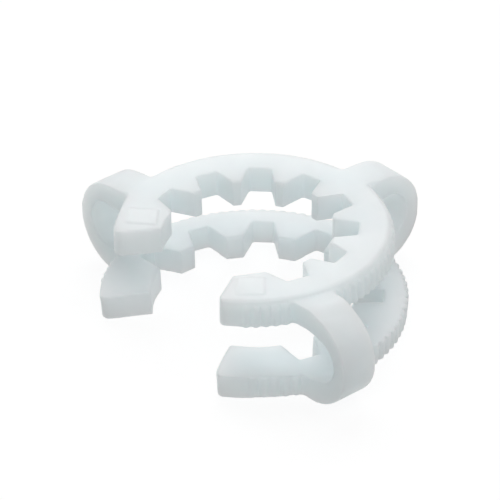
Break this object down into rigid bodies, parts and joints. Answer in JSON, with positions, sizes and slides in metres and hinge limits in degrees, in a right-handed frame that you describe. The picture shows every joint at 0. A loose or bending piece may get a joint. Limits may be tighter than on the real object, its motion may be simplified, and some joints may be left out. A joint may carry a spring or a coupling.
{
  "type": "ground glass joint clip",
  "caption": "One-piece moulded plastic clip: two open toothed rings joined by bowed spring loops, snapped over a tapered glass joint to hold it together.",
  "frame": {"origin": "axis of the two rings, at the underside of the lower ring", "axes": "+Z along the rings' axis from the lower ring to the upper ring, +Y to the back loop, mouth open toward -Y, +X to the right-hand side loop"},
  "size_m": [0.0606, 0.0481, 0.0159],
  "materials": {
    "natural_plastic": "satin natural-white moulded plastic, slightly translucent"
  },
  "bodies": {
    "root": {"clip": "natural_plastic"}
  },
  "joints": []
}
